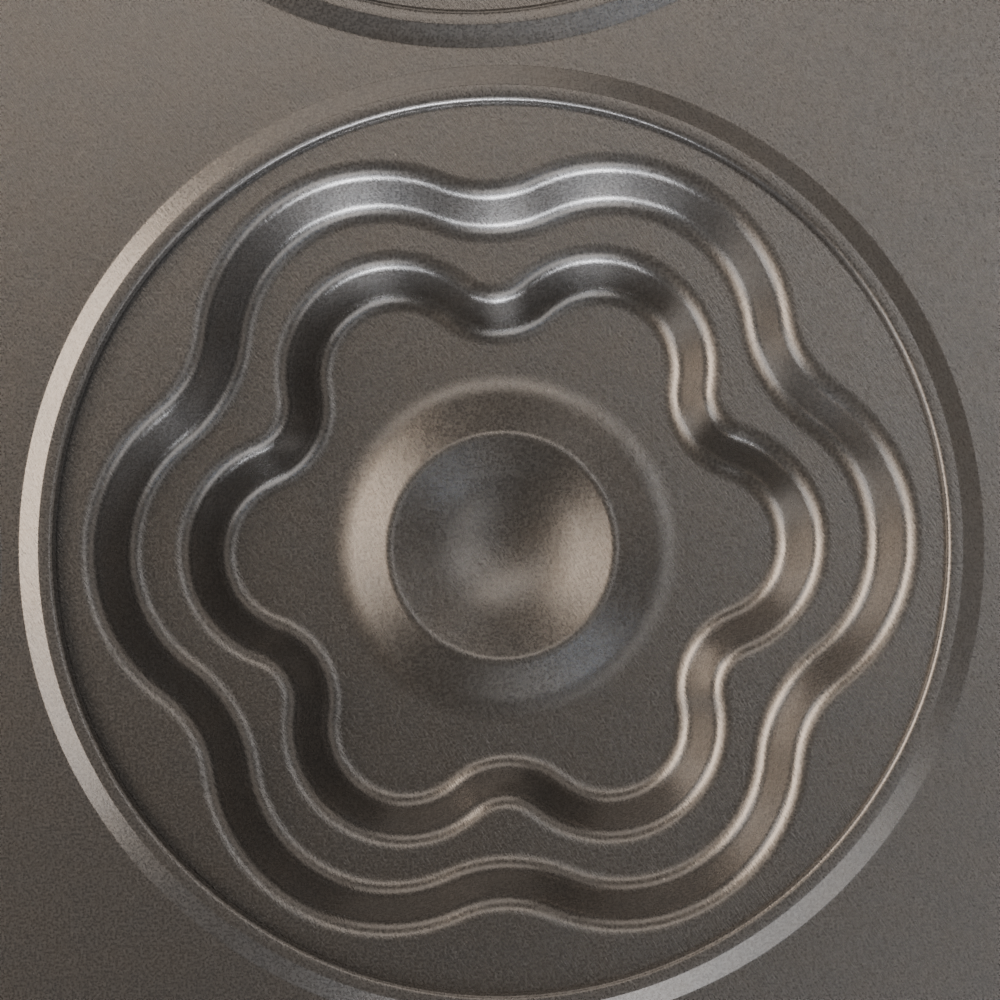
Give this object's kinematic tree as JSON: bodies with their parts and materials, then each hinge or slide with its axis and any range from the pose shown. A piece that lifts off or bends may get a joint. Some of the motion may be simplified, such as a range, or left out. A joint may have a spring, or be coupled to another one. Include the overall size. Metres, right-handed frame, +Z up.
{
  "type": "flower cookie pan",
  "caption": "Shallow coated baking pan with stepped flower-shaped moulds set in raised round collars and a rim curled over a wire.",
  "frame": {"origin": "middle of the pan on the plane that the bowls' flat bottoms stand on", "axes": "+X along the long side, +Y towards the back row of moulds, +Z up out of the moulds"},
  "size_m": [0.3428, 0.2282, 0.013],
  "materials": {
    "plate_coating": "satin grained non-stick coating",
    "mould_coating": "satin grained non-stick coating",
    "rim_wire": "plain drawn wire"
  },
  "bodies": {
    "root": {"tray_plate": "plate_coating", "flower_mould_1": "mould_coating", "flower_mould_2": "mould_coating", "flower_mould_3": "mould_coating", "flower_mould_4": "mould_coating", "flower_mould_5": "mould_coating", "flower_mould_6": "mould_coating", "rim_wire": "rim_wire"}
  },
  "joints": []
}
